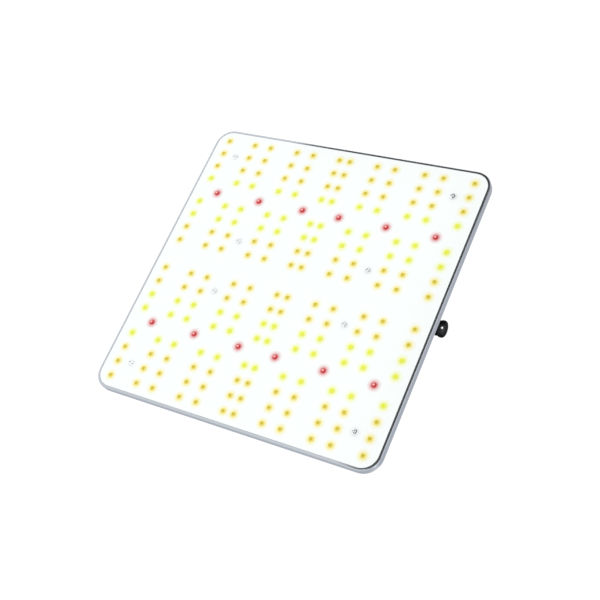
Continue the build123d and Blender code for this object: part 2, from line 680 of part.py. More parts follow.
def make_pot():
    """The potentiometer: a round can, three tabs and a threaded bushing through the end cap."""
    z = Z_CASE_MIDDLE
    pot = rod(X_POT_BACK, X_POT_FRONT, 0, z, POT_R)
    pot += rod(X_POT_FRONT, X_SEAL_END, 0, z, BUSHING_R + POT_COLLAR)
    pot += rod(X_SEAL_END, X_BUSHING_END, 0, z, BUSHING_R)
    for y in POT_TABS_Y:
        limits_y = (y - POT_TAB_HALF, y + POT_TAB_HALF)
        pot += block(POT_TAB_X, limits_y, (z + POT_TAB_Z, z - POT_R + POT_TAB_ROOT))
    return pot - rod(X_POT_BACK + POT_BACK_WALL, KNOB_BACK_X, 0, z, SHAFT_R + SHAFT_GAP)


def make_pot_nut():
    nut = hex_nut(POT_NUT_FLATS, POT_NUT_HEIGHT, BUSHING_R + THREAD_GAP)
    return Pos(X_CAP_END, 0, Z_CASE_MIDDLE) * Rot(0, 90, 0) * nut


def make_shaft():
    shaft = rod(X_POT_BACK + POT_BACK_WALL + SHAFT_CHAMFER, SHAFT_END_X, 0, Z_CASE_MIDDLE, SHAFT_R)
    return chamfer(shaft.edges().group_by(Axis.X)[-1], SHAFT_CHAMFER)


def knob_profile():
    """Half the knob's section: x along the axis from the back face, y outward."""
    length = KNOB_END_X - KNOB_BACK_X
    bead = length - KNOB_BEAD_LENGTH
    neck = bead - KNOB_BEAD_SLOPE
    outline = Polyline(
        (0, 0), (length, 0), (length, KNOB_BEAD_R), (bead, KNOB_BEAD_R), (neck, KNOB_BODY_R),
        (0, KNOB_BODY_R), (0, 0),
    )
    face = make_face(outline)
    end_corner = face.vertices().sort_by(lambda v: v.X + v.Y)[-1]
    face = fillet(end_corner, KNOB_EDGE_ROUND)
    bead_corner = face.vertices().sort_by(lambda v: abs(v.X - bead) + abs(v.Y - KNOB_BEAD_R))[0]
    return fillet(bead_corner, KNOB_BEAD_BACK_ROUND)


def make_knob_blank():
    return Pos(KNOB_BACK_X, 0, Z_CASE_MIDDLE) * revolve(knob_profile(), axis=Axis.X)


def make_knob():
    z = Z_CASE_MIDDLE
    knob = make_knob_blank()
    flute_end = KNOB_END_X - KNOB_BEAD_LENGTH - KNOB_FLUTE_END
    flute = rod(KNOB_BACK_X - OVER, flute_end, KNOB_BODY_R + KNOB_FLUTE_OUTSET, 0, KNOB_FLUTE_R)
    for k in range(KNOB_FLUTES):
        knob -= Pos(0, 0, z) * Rot(360 * k / KNOB_FLUTES, 0, 0) * flute
    knob -= rod(KNOB_BACK_X - OVER, SHAFT_END_X + SHAFT_CHAMFER, 0, z, KNOB_BORE_R)
    knob -= marker_plug()
    return knob - grub_hole(SCREW_R + THREAD_GAP, KNOB_BEAD_R)


def marker_plug():
    """A short cylinder through the knob's shoulder, square to its surface."""
    inner = KNOB_EDGE_ROUND - MARKER_DEPTH
    plug = Rot(0, 90 - MARKER_SLOPE, 0) * post(0, 0, inner, inner + MARKER_DEPTH + OVER, MARKER_R)
    shoulder = Pos(KNOB_END_X - KNOB_EDGE_ROUND, 0, KNOB_BEAD_R - KNOB_EDGE_ROUND) * plug
    return Pos(0, 0, Z_CASE_MIDDLE) * Rot(MARKER_TURN - 90, 0, 0) * shoulder


def make_knob_marker():
    return make_knob_blank() & marker_plug()


def grub_hole(radius, reach):
    """A radial cylinder, opposite the marker, from the shaft outward."""
    spoke = Rot(-90, 0, 0) * post(0, 0, SHAFT_R + THREAD_GAP, reach, radius)
    return Pos(KNOB_BACK_X + GRUB_FROM_BACK, 0, Z_CASE_MIDDLE) * Rot(MARKER_TURN + 180, 0, 0) * spoke


def make_grub_screw():
    return grub_hole(SCREW_R, KNOB_BODY_R - GRUB_SINK)


# ================================================================ mains inlet
X_INLET_FACE = -X_CAP_END - INLET_FLANGE_THICKNESS
X_RECESS_FLOOR = X_INLET_FACE + INLET_RECESS_DEPTH
X_INLET_BACK = X_INLET_FACE + INLET_FLANGE_THICKNESS + INLET_BODY_DEPTH
INLET_FLOOR = X_INLET_BACK - X_RECESS_FLOOR


def inlet_section(size, cut):
    """A rectangle with its two upper corners cut off, as (y, z)."""
    shape = Rectangle(*size)
    return chamfer(shape.vertices().group_by(Axis.Y)[-1], cut)


def make_inlet():
    z = Z_CASE_MIDDLE
    flange = Plane.YZ * RectangleRounded(*INLET_FLANGE, INLET_FLANGE_ROUND)
    inlet = Pos(X_INLET_FACE, 0, z) * extrude(flange, amount=INLET_FLANGE_THICKNESS)
    body = Plane.YZ * inlet_section(INLET_BODY, INLET_CORNER_CUT)
    inlet += Pos(-X_CAP_END, 0, z) * extrude(body, amount=INLET_BODY_DEPTH)
    recess = Plane.YZ * inlet_section(INLET_RECESS, INLET_CORNER_CUT)
    inlet -= Pos(X_INLET_FACE, 0, z) * extrude(recess, amount=INLET_RECESS_DEPTH)
    for y, dz in pin_places():
        inlet -= Pos(X_RECESS_FLOOR, y, z + dz) * Box(2 * INLET_FLOOR, *PIN_SECTION)
    for sy in (-1, 1):
        inlet -= rod(X_INLET_FACE - OVER, -X_CAP_END + OVER, sy * INLET_SCREW_Y, z, SCREW_HOLE_R)
    return inlet


def pin_places():
    return ((-LIVE_PIN_Y, -PIN_OFFSET_Z), (LIVE_PIN_Y, -PIN_OFFSET_Z), (0, PIN_OFFSET_Z))


def make_inlet_pins():
    thick, tall = PIN_SECTION
    pins = []
    for y, dz in pin_places():
        z = Z_CASE_MIDDLE + dz
        pin = block(
            (X_RECESS_FLOOR - PIN_REACH, X_INLET_BACK + PIN_TAIL),
            (y - thick / 2, y + thick / 2),
            (z - tall / 2, z + tall / 2),
        )
        pins.append(chamfer(pin.faces().sort_by(Axis.X)[0].edges(), PIN_TIP_CHAMFER))
    return group(pins)


def make_inlet_fixings():
    screw = pan_screw(INLET_SCREW_LENGTH, head_r=SMALL_HEAD_R, head_height=SMALL_HEAD_HEIGHT)
    nut = hex_nut(NUT_FLATS, NUT_HEIGHT, SCREW_R + THREAD_GAP)
    screws, nuts = [], []
    for sy in (-1, 1):
        place = Pos(0, sy * INLET_SCREW_Y, Z_CASE_MIDDLE)
        screws.append(place * Pos(X_INLET_FACE, 0, 0) * Rot(0, 90, 0) * screw)
        nuts.append(place * Pos(-X_SEAL_END, 0, 0) * Rot(0, 90, 0) * nut)
    return {"inlet_screws": group(screws), "inlet_nuts": group(nuts)}


# ================================================================ driver electronics
def make_driver_board():
    half = DRIVER_BOARD_WIDTH / 2
    return block(DRIVER_BOARD_X, (-half, half), (Z_DRIVER_BOARD, Z_PARTS))


def can(middle, radius, height):
    """A capacitor can standing on the driver board, with a rounded top."""
    body = post(*middle, Z_PARTS, Z_PARTS + height, radius)
    return fillet(body.edges().group_by(Axis.Z)[-1], CAN_ROUND)


def on_board(middle, size):
    """A block standing on the driver board."""
    return Pos(*middle, Z_PARTS + size[2] / 2) * Box(*size)


def choke(middle, outer, inner, height):
    """A wound ring lying on the driver board."""
    ring = post(*middle, Z_PARTS, Z_PARTS + height, outer)
    ring -= post(*middle, Z_PARTS - OVER, Z_PARTS + height + OVER, inner)
    return fillet(ring.edges().filter_by(GeomType.CIRCLE), CHOKE_ROUND)


def make_transformer_core():
    """Two ferrite E halves: a frame with a middle leg twice as wide as its sides."""
    width, height = TRANSFORMER_CORE[1:]
    core = on_board((TRANSFORMER_X, 0), TRANSFORMER_CORE)
    gap = width / 2 - 2 * TRANSFORMER_LEG
    opening = Box(TRANSFORMER_WINDOW, gap, height + 2 * OVER)
    for sy in (-1, 1):
        core -= Pos(TRANSFORMER_X, sy * (TRANSFORMER_LEG + gap / 2), Z_PARTS + height / 2) * opening
    return core


def make_transformer_coil():
    """The taped winding, seen in the core's two windows."""
    width, height = TRANSFORMER_CORE[1:]
    window_width = width / 2 - 2 * TRANSFORMER_LEG
    size = (TRANSFORMER_WINDOW - 2 * LOOSE_FIT, window_width - 2 * LOOSE_FIT, height - 2 * CHOKE_ROUND)
    half = Box(*size)
    y = TRANSFORMER_LEG + window_width / 2
    return group([Pos(TRANSFORMER_X, sy * y, Z_PARTS + height / 2) * half for sy in (-1, 1)])


def make_fuse():
    """A glass tube with two end caps, each in a clip."""
    x, y = FUSE_MIDDLE
    clip_height = FUSE_CLIP[2]
    z = Z_PARTS + clip_height + FUSE_R
    half = FUSE_GLASS / 2
    solids = [rod(x - half, x + half, y, z, FUSE_R)]
    for side in (-1, 1):
        end_x = x + side * (half + FUSE_END / 2)
        solids.append(rod(end_x - FUSE_END / 2, end_x + FUSE_END / 2, y, z, FUSE_R))
        solids.append(on_board((end_x, y), FUSE_CLIP))
    return group(solids)


def make_spreader_bar():
    """The aluminium bar that carries heat from the power devices to the case."""
    front = POWER_ROW_Y + POWER_DEVICE[1] / 2 + LOOSE_FIT / 2
    low, high = SPREADER_HEIGHTS
    return block(SPREADER_X, (front, front + SPREADER_THICKNESS), (Z_PARTS + low, Z_PARTS + high))


def blocks_on_board(table):
    return group([on_board(middle, size) for middle, size in table])


def make_electronics():
    power_table = [((x, POWER_ROW_Y), POWER_DEVICE) for x in POWER_DEVICES_X]
    return {
        "driver_board": make_driver_board(),
        "board_terminals": blocks_on_board(TERMINAL_BLOCKS),
        "fuse": make_fuse(),
        "filter_choke": group([choke(*row) for row in CHOKES]),
        "film_capacitors": blocks_on_board(FILM_CAPACITORS),
        "bulk_capacitors": group([can(middle, *BULK_CAN) for middle in BULK_CAPACITORS]),
        "output_capacitors": group([can(middle, *OUTPUT_CAN) for middle in OUTPUT_CAPACITORS]),
        "transformer_core": make_transformer_core(),
        "transformer_coil": make_transformer_coil(),
        "power_devices": blocks_on_board(power_table),
        "spreader_bar": make_spreader_bar(),
        "control_chips": blocks_on_board(CONTROL_CHIPS),
    }


# ================================================================ leads inside the case
Z_LEAD_OUT = Z_PARTS + LEAD_HEIGHT
CONNECTOR_TOP = Z_BACK - CONNECTOR_SINK


def make_led_connector():
    """The socket on the back of the LED board and the plug pushed onto it."""
    x_half, y_half = CONNECTOR[0] / 2, CONNECTOR[1] / 2
    socket = block(
        (WINDOW_X - x_half, WINDOW_X + x_half), (-y_half, y_half), (Z_BOARD_BACK, CONNECTOR_TOP)
    )
    x_half -= PLUG_INSET
    y_half -= PLUG_INSET
    plug_top = CONNECTOR_TOP + PLUG_HEIGHT
    plug = block((WINDOW_X - x_half, WINDOW_X + x_half), (-y_half, y_half), (CONNECTOR_TOP, plug_top))
    return {"led_board_socket": socket, "led_lead_plug": plug}


def make_led_lead(y):
    """From the output terminal, over the driver board's edge and down to the LED board's plug."""
    points = [
        (LEAD_START_X, y, Z_LEAD_OUT),
        (WINDOW_X, y, Z_LEAD_OUT),
        (WINDOW_X, y, CONNECTOR_TOP + PLUG_HEIGHT),
    ]
    return route(points, LEAD_R, [LEAD_BEND_R])


def make_mains_lead(pin, terminal_y):
    """From an inlet pin's tail to the input terminal."""
    y, dz = pin
    x_start = X_INLET_BACK + PIN_TAIL
    z_start = Z_CASE_MIDDLE + dz
    middle_x = (x_start + MAINS_LEAD_END_X) / 2
    points = [
        (x_start, y, z_start),
        (middle_x - MAINS_LEAD_STEP, y, z_start),
        (middle_x + MAINS_LEAD_STEP, terminal_y, Z_LEAD_OUT),
        (MAINS_LEAD_END_X, terminal_y, Z_LEAD_OUT),
    ]
    return route(points, LEAD_R, [MAINS_LEAD_BEND_R] * 2)


def make_dimmer_lead(y_tab, y_end):
    """From one of the potentiometer's tabs to the header on the driver board."""
    z_tab = Z_CASE_MIDDLE + POT_TAB_Z + POT_TAB_HALF
    z_end = Z_LEAD_OUT - PLUG_INSET
    x_tab = sum(POT_TAB_X) / 2
    start, bend, level = (x_tab - run for run in DIMMER_LEAD_RUNS)
    points = [
        (start, y_tab, z_tab),
        (bend, y_tab, z_tab),
        (level, y_end, z_end),
        (DIMMER_LEAD_END_X, y_end, z_end),
    ]
    return route(points, DIMMER_LEAD_R, [DIMMER_LEAD_BEND_R] * 2)


def make_leads():
    nodes = make_led_connector()
    nodes["led_leads"] = group([make_led_lead(y) for y in LEAD_Y])
    nodes["mains_leads"] = group([make_mains_lead(pin, y) for pin, y in zip(pin_places(), MAINS_LEADS_Y)])
    nodes["dimmer_leads"] = group([make_dimmer_lead(*ends) for ends in zip(POT_TABS_Y, DIMMER_LEADS_Y)])
    return nodes


# ================================================================ the whole light
def make_nodes():
    nodes = {
        "heat_sink_tray": make_tray(),
        "thermal_pad": make_thermal_pad(),
        "led_board": make_led_board(),
        "corner_screws": make_board_screws(CORNER_SCREWS, CORNER_SCREW_LENGTH),
        "driver_screws": make_board_screws(DRIVER_SCREWS, DRIVER_SCREW_LENGTH),
        "case_seal": make_case_seal(),
        "driver_case": make_driver_case(),
        "dimmer_end_cap": make_dimmer_cap(),
        "inlet_end_cap": make_inlet_cap(),
        "end_cap_seals": group([make_end_seal(side) for side in (-1, 1)]),
        "end_cap_screws": group(make_end_screws()),
        "mains_inlet": make_inlet(),
        "inlet_pins": make_inlet_pins(),
        "potentiometer": make_pot(),
        "potentiometer_nut": make_pot_nut(),
        "dimmer_shaft": make_shaft(),
        "dimmer_knob": make_knob(),
        "knob_marker": make_knob_marker(),
        "knob_grub_screw": make_grub_screw(),
    }
    for make_more in (make_leds, make_hangers, make_fins, make_inlet_fixings, make_electronics, make_leads):
        nodes.update(make_more())
    return nodes


os.makedirs("parts", exist_ok=True)
for node_name, shape in make_nodes().items():
    export_step(shape, f"parts/{node_name}.step")
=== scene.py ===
import json
from math import cos, radians, sin

import bpy
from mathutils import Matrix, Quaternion, Vector


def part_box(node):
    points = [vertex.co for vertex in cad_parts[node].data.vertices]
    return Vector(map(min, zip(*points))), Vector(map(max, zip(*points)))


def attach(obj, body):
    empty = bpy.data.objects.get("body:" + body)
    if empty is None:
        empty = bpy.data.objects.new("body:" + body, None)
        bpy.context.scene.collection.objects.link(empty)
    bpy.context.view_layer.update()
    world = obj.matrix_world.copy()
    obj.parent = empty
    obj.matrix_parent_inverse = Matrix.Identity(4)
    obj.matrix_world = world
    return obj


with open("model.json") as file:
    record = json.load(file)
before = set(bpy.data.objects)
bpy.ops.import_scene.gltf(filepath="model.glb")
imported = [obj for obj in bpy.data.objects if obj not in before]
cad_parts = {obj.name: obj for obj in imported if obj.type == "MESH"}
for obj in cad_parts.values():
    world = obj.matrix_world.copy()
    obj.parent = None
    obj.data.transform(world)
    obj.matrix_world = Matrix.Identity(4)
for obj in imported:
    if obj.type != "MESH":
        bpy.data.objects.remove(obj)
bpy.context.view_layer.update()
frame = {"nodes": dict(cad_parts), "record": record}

NODES = frame["nodes"]

# ---------------------------------------------------------------- places, from the frame
FACE_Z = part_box("led_board")[0].z

MM_PER_METRE = 1000.0

# LED grid of one quarter, in millimetres from the middle of the board.
LED_COLUMNS = (5.6, 35.3, 53.9, 84.7, 103.5, 134.3)
ROW_PITCH = 15.4
WARM_ROWS = [16.3 + k * ROW_PITCH for k in range(2)] + [136.5 - k * ROW_PITCH for k in range(3)]
COOL_ROWS = [16.3 + k * ROW_PITCH for k in (2, 3)] + [136.5 - 3 * ROW_PITCH]
RED_COLUMNS = (19.8, 69.4, 119.0)
RED_ROWS = (74.9,)

# Half an LED's side, the reach of the painted glow around it on the board, and the gap in the copper
# beside its column, in millimetres.
LED_HALF = 1.75
PAINTED_GLOW_REACH = 7.0
TRACE_OFFSET = 7.0
TRACE_GAP_REACH = 2.0

# The knob turns about the line through the middle of its box, along X. A painted highlight, a greyer
# patch, is beside its marker.
KNOB_LOW, KNOB_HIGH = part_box("dimmer_knob")
KNOB_AXIS_Z = (KNOB_LOW.z + KNOB_HIGH.z) / 2
KNOB_HIGHLIGHT_PLACE = (KNOB_HIGH.x - 0.0016, 0.0034, KNOB_AXIS_Z - 0.0064)
KNOB_HIGHLIGHT_REACH = 0.0058

# The bead-blasted inside of the tray's back lies within this half side and above this height.
BLASTED_HALF = 0.1487
BLASTED_Z = FACE_Z + 0.0042

# Dial ticks, as angles about +X from straight up, and distances in metres from the knob's axis.
TICK_COUNT = 11
TICK_START = -165.0
TICK_STEP = 30.0
TICK_INNER = 0.0094
TICK_OUTER = 0.0114
TICK_WIDTH = 0.0007
TICK_HEIGHT = 0.0001

# ---------------------------------------------------------------- camera and stage
CAMERA_PLACE = Vector((0.4636, 0.3343, FACE_Z - 0.7938))
CAMERA_TARGET = Vector((0.0014, 0.0199, FACE_Z))
CAMERA_ROLL = 143.95
CAMERA_LENS = 63.205
CAMERA_SHIFT_X = 0.03
SENSOR_WIDTH = 36.0
FLOOR_Z = -1.25
FLOOR_HALF = 60.0
WORLD_STRENGTH = 1.04

# What reflections see of the world, from 0 straight down to 1 straight up: a place and its colour.
WORLD_LOW = (0.4, (1.0, 1.0, 1.0))
WORLD_HIGH = (0.78, (0.6, 0.62, 0.66))

# Soft lights aimed at the frame's origin: place, size in metres and power in watts.
LIGHTS = {
    "key": ((-0.9, -1.0, 1.5), 1.0, 18.0),
    "side": ((1.4, 0.9, 0.9), 0.8, 6.0),
}

# Black cards that only reflections see: middle, right, up, half width and half height of each.
BLACK_CARDS = {
    "right_card": ((0.143, -0.075, -0.07), (1, 0, 0), (0, 1, 0), 0.042, 0.225),
    "front_card": ((0.0475, -0.2825, -0.07), (1, 0, 0), (0, 1, 0), 0.1375, 0.1175),
    "corner_card": ((0.31, -0.25, -0.08), (1, 0, 0), (0, 1, 0), 0.09, 0.10),
    "lens_card": ((0.36, 0.25, -0.56), (-0.43, 0.9, 0), (0.55, 0.26, 0.79), 0.26, 0.20),
}

# ---------------------------------------------------------------- looks
# The board's white mask, the painted glow round the LEDs, and each glow's strength at shares of that
# glow's reach.
BOARD_WHITE = ((0.93, 0.965, 0.96), (0.95, 0.98, 0.975))
BOARD_PAINTED_GLOWS = (
    (LED_COLUMNS, WARM_ROWS, (0.93, 0.83, 0.17)),
    (LED_COLUMNS, COOL_ROWS, (0.88, 0.94, 0.12)),
    (RED_COLUMNS, RED_ROWS, (0.70, 0.05, 0.06)),
)
PAINTED_GLOW_FADE = ((0.28, 0.92), (0.47, 0.58), (0.68, 0.26), (1.0, 0.0))
BOARD_RELIEF = 1.2e-5

# Colours of the LEDs, each from one end of a range to the other.
WARM_PHOSPHOR = ((0.60, 0.49, 0.025), (0.76, 0.62, 0.07))
COOL_PHOSPHOR = ((0.78, 0.88, 0.03), (0.84, 0.90, 0.08))
WARM_CASE = ((0.86, 0.70, 0.20), (0.90, 0.78, 0.26))
COOL_CASE = ((0.85, 0.84, 0.20), (0.89, 0.90, 0.26))
# The red lens's bright pink middle is a painted highlight.
RED_LENS_PAINTED_HIGHLIGHT = (1.0, 0.52, 0.50)
RED_LENS_RING = (0.52, 0.010, 0.018)
RED_CASE_INNER = (0.56, 0.012, 0.02)
RED_CASE_OUTER = (0.66, 0.03, 0.04)

# Colours of the metal and of the knob.
METAL_TONES = (0.9, 1.06)
PLASTIC_TONES = (0.88, 1.08)
POWDER_TONES = (0.8, 1.3)
ANODISED_TONES = ((0.022, 0.023, 0.026), (0.05, 0.051, 0.056))
TRAY_SATIN = ((0.52, 0.55, 0.60), (0.57, 0.60, 0.65))
TRAY_BLASTED = ((0.52, 0.53, 0.55), (0.62, 0.63, 0.65))
BLASTED_EXTRA_ROUGHNESS = 0.2
SCREW_PLATING = ((0.86, 0.87, 0.89), (0.95, 0.955, 0.965))
# The knob's painted highlight, grey, then its black and its grain.
KNOB_PAINTED_HIGHLIGHT = (0.04, 0.042, 0.044)
KNOB_BLACK = (0.0015, 0.0015, 0.002)
KNOB_GRAIN = (0.004, 0.004, 0.004)

# Grain drawn out along X, for extrusions.
ALONG_X = (0.012, 1.0, 1.0)

# Places of the sockets on a colour Mix node.
MIX_FACTOR, MIX_FIRST, MIX_SECOND, MIX_RESULT = 0, 6, 7, 2


# ================================================================ node helpers
class Shader:
    """A material's node tree with short ways to add nodes."""

    def __init__(self, name):
        self.material = bpy.data.materials.new(name)
        self.material.use_nodes = True
        self.tree = self.material.node_tree
        self.tree.nodes.clear()
        self.output = self.add("ShaderNodeOutputMaterial")
        self.surface = self.add("ShaderNodeBsdfPrincipled")
        self.link(self.surface.outputs[0], self.output.inputs["Surface"])
        self.place = self.add("ShaderNodeTexCoord").outputs["Object"]

    def add(self, kind, **settings):
        node = self.tree.nodes.new(kind)
        for key, value in settings.items():
            setattr(node, key, value)
        return node

    def link(self, source, target):
        self.tree.links.new(source, target)

    def feed(self, socket, value):
        """A socket takes a number, a colour or another node's output."""
        if isinstance(value, bpy.types.NodeSocket):
            self.link(value, socket)
        else:
            socket.default_value = value

    def math(self, operation, *values):
        node = self.add("ShaderNodeMath", operation=operation)
        for socket, value in zip(node.inputs, values):
            self.feed(socket, value)
        return node.outputs[0]

    def noise(self, scale, stretch=(1, 1, 1), detail=3.0):
        """Smooth noise from 0 to 1. scale is in lumps per metre."""
        mapping = self.add("ShaderNodeMapping")
        mapping.inputs["Scale"].default_value = stretch
        self.link(self.place, mapping.inputs["Vector"])
        node = self.add("ShaderNodeTexNoise")
        node.inputs["Scale"].default_value = scale
        node.inputs["Detail"].default_value = detail
        self.link(mapping.outputs[0], node.inputs["Vector"])
        return node.outputs[0]

    def ramp(self, value, *stops):
        """Colours or greys at places along 0 to 1."""
        node = self.add("ShaderNodeValToRGB")
        elements = node.color_ramp.elements
        while len(elements) < len(stops):
            elements.new(0.5)
        for element, (place, colour) in zip(elements, stops):
            element.position = place
            grey = isinstance(colour, (int, float))
            element.color = (colour, colour, colour, 1) if grey else (*colour, 1)
        self.feed(node.inputs[0], value)
        return node.outputs[0]

    def between(self, value, low, high):
        """A value from 0 to 1, stretched to run from low to high."""
        return self.math("MULTIPLY_ADD", value, high - low, low)

    def mix(self, factor, first, second):
        """A blend of two colours or greys: the first at factor 0, the second at factor 1."""
        node = self.add("ShaderNodeMix", data_type="RGBA")
        self.feed(node.inputs[MIX_FACTOR], factor)
        for socket, value in ((node.inputs[MIX_FIRST], first), (node.inputs[MIX_SECOND], second)):
            if isinstance(value, tuple):
                value = (*value, 1)
            self.feed(socket, value)
        return node.outputs[MIX_RESULT]

    def set(self, **values):
        """Feed the surface's sockets, named with an underscore for each space."""
        for key, value in values.items():
            self.feed(self.surface.inputs[key.replace("_", " ")], value)

    def bump(self, height, distance):
        """Relief from a height of 0 to 1. distance is its depth in metres."""
        node = self.add("ShaderNodeBump")
        node.inputs["Distance"].default_value = distance
        self.link(height, node.inputs["Height"])
        self.link(node.outputs[0], self.surface.inputs["Normal"])

    def xyz(self):
        """The place's X, Y and Z, in metres."""
        node = self.add("ShaderNodeSeparateXYZ")
        self.link(self.place, node.inputs[0])
        return node.outputs

    def nearest(self, coordinate, places):
        """Distance in millimetres from the nearest of the mirrored places."""
        side = self.math("MULTIPLY", self.math("ABSOLUTE", coordinate), MM_PER_METRE)
        gaps = [self.math("ABSOLUTE", self.math("SUBTRACT", side, p)) for p in places]
        best = gaps[0]
        for gap in gaps[1:]:
            best = self.math("MINIMUM", best, gap)
        return best

    def from_grid(self, columns, rows):
        """Distance in millimetres from the nearest point of a mirrored grid."""
        x, y, _ = self.xyz()
        dx = self.nearest(x, columns)
        dy = self.nearest(y, rows)
        squares = self.math("ADD", self.math("MULTIPLY", dx, dx), self.math("MULTIPLY", dy, dy))
        return self.math("SQRT", squares)


# ================================================================ materials
def tones(colour, factors):
    """A darker and a lighter tone of a colour, neither of them past white."""
    return [tuple(min(1.0, c * factor) for c in colour) for factor in factors]


def metal(name, colour, roughness, grain=900.0, stretch=(1, 1, 1), depth=4e-6, spread=0.06):
    """Bare or anodised metal with a fine grain, drawn out along the short axis of stretch."""
    s = Shader(name)
    grain_noise = s.noise(grain, stretch)
    patches = s.noise(14.0)
    halfway = s.math("MULTIPLY", s.math("ADD", grain_noise, patches), 0.5)
    tone = s.mix(halfway, *tones(colour, METAL_TONES))
    s.set(Base_Color=tone, Metallic=1.0)
    s.set(Roughness=s.between(patches, roughness - spread, roughness + spread))
    s.bump(grain_noise, depth)
    return s.material


def plastic(name, colour, roughness, grain=1500.0, depth=6e-6, spread=0.06):
    """Moulded plastic or rubber with a fine spark texture and slight tone changes."""
    s = Shader(name)
    grain_noise = s.noise(grain)
    patches = s.noise(25.0)
    s.set(Base_Color=s.mix(patches, *tones(colour, PLASTIC_TONES)))
    s.set(Roughness=s.between(grain_noise, roughness - spread, roughness + spread))
    s.bump(grain_noise, depth)
    return s.material


def white_board():
    """White solder mask: a soft gloss, faint relief of the copper beneath, and a painted glow around each
    LED.
    """
    s = Shader("white_board")
    x, y, _ = s.xyz()
    mottle = s.noise(60.0)
    base = s.mix(mottle, *BOARD_WHITE)
    # Painted glow: each LED's colour spread onto the board around it, fading with distance.
    for columns, rows, glow_colour in BOARD_PAINTED_GLOWS:
        reach = s.math("DIVIDE", s.from_grid(columns, rows), PAINTED_GLOW_REACH)
        base = s.mix(s.ramp(reach, *PAINTED_GLOW_FADE), base, glow_colour)
    s.set(Base_Color=base)
    s.set(Roughness=s.between(s.noise(300.0), 0.34, 0.42))
    columns = s.nearest(x, [c + TRACE_OFFSET for c in LED_COLUMNS])
    gap = s.ramp(s.math("DIVIDE", columns, TRACE_GAP_REACH), (0.2, 0.0), (0.35, 1.0))
    s.bump(s.mix(0.25, gap, s.noise(700.0)), BOARD_RELIEF)
    return s.material


def phosphor(name, rows, middle, outer):
    """Phosphor-filled silicone: deeper colour in the middle, glossy, each LED a little different."""
    s = Shader(name)
    radial = s.math("DIVIDE", s.from_grid(LED_COLUMNS, rows), LED_HALF)
    tone = s.ramp(radial, (0.0, middle), (0.4, middle), (1.0, outer))
    island = s.add("ShaderNodeNewGeometry").outputs["Random Per Island"]
    tone = s.mix(s.between(island, 0.0, 0.16), tone, outer)
    grains = s.noise(4000.0)
    tone = s.mix(s.between(grains, 0.0, 0.2), tone, tuple(c * 0.85 for c in middle))
    s.set(Base_Color=tone, Roughness=0.34, Specular_IOR_Level=0.3, Coat_Weight=0.2, Coat_Roughness=0.12)
    s.bump(grains, 3e-6)
    return s.material


def led_case(name):
    """The white case round each window, tinted by its phosphor: more orange in the warm rows."""
    s = Shader(name)
    island = s.add("ShaderNodeNewGeometry").outputs["Random Per Island"]
    warm = s.mix(island, *WARM_CASE)
    cool = s.mix(island, *COOL_CASE)
    in_cool_row = s.math("LESS_THAN", s.nearest(s.xyz()[1], COOL_ROWS), 2 * LED_HALF)
    tone = s.mix(in_cool_row, warm, cool)
    s.set(Base_Color=tone, Roughness=s.between(s.noise(2500.0), 0.36, 0.48))
    s.bump(s.noise(2500.0), 4e-6)
    return s.material


def red_lens():
    """Red silicone lens: a painted highlight, bright pink, in the middle and a deep red shoulder."""
    s = Shader("red_lens")
    radial = s.math("DIVIDE", s.from_grid(RED_COLUMNS, RED_ROWS), LED_HALF)
    tone = s.ramp(radial, (0.0, RED_LENS_PAINTED_HIGHLIGHT), (0.46, RED_LENS_PAINTED_HIGHLIGHT), (0.76, RED_LENS_RING))
    tone = s.mix(s.between(s.noise(3000.0), 0.0, 0.15), tone, RED_LENS_RING)
    s.set(Base_Color=tone, Roughness=0.22, Specular_IOR_Level=0.35, Coat_Weight=0.25, Coat_Roughness=0.06)
    s.bump(s.noise(3000.0), 2e-6)
    return s.material


def red_base():
    """The red LED's case, darkest beside its lens."""
    s = Shader("red_base")
    radial = s.math("DIVIDE", s.from_grid(RED_COLUMNS, RED_ROWS), LED_HALF)
    tone = s.ramp(radial, (0.7, RED_CASE_INNER), (1.0, RED_CASE_OUTER))
    s.set(Base_Color=tone, Roughness=s.between(s.noise(2500.0), 0.4, 0.55))
    s.bump(s.noise(2500.0), 4e-6)
    return s.material


def knob_plastic():
    """Deep black knob with a painted highlight, a greyer patch, on its shoulder beside the marker."""
    s = Shader("knob_black")
    away = s.add("ShaderNodeVectorMath", operation="DISTANCE")
    s.link(s.place, away.inputs[0])
    away.inputs[1].default_value = KNOB_HIGHLIGHT_PLACE
    grain = s.noise(1800.0)
    reach = s.math("DIVIDE", away.outputs["Value"], KNOB_HIGHLIGHT_REACH)
    tone = s.ramp(reach, (0.4, KNOB_PAINTED_HIGHLIGHT), (1.0, KNOB_BLACK))
    tone = s.mix(s.between(grain, 0.0, 0.3), tone, KNOB_GRAIN)
    s.set(Base_Color=tone, Roughness=s.between(grain, 0.36, 0.48), Specular_IOR_Level=0.03)
    s.bump(grain, 5e-6)
    return s.material


def tray_aluminium():
    """Clear-anodised tray: satin outside, and bead-blasted inside its back, where the fins are bolted."""
    s = Shader("tray_aluminium")
    x, y, z = s.xyz()
    grain = s.noise(1400.0)
    side = s.math("MAXIMUM", s.math("ABSOLUTE", x), s.math("ABSOLUTE", y))
    within = s.math("LESS_THAN", side, BLASTED_HALF)
    above = s.math("GREATER_THAN", z, BLASTED_Z)
    inside = s.math("MULTIPLY", within, above)
    satin = s.mix(grain, *TRAY_SATIN)
    blasted = s.mix(grain, *TRAY_BLASTED)
    s.set(Base_Color=s.mix(inside, satin, blasted), Metallic=1.0)
    satin_roughness = s.between(grain, 0.26, 0.3)
    s.set(Roughness=s.math("MULTIPLY_ADD", inside, BLASTED_EXTRA_ROUGHNESS, satin_roughness))
    s.bump(grain, 4e-6)
    return s.material


def plated_screw(name):
    """Bright satin plating on screw heads."""
    s = Shader(name)
    grain = s.noise(2500.0)
    tone = s.mix(s.noise(120.0), *SCREW_PLATING)
    s.set(Base_Color=tone, Metallic=0.9, Roughness=s.between(grain, 0.15, 0.21))
    s.bump(grain, 3e-6)
    return s.material


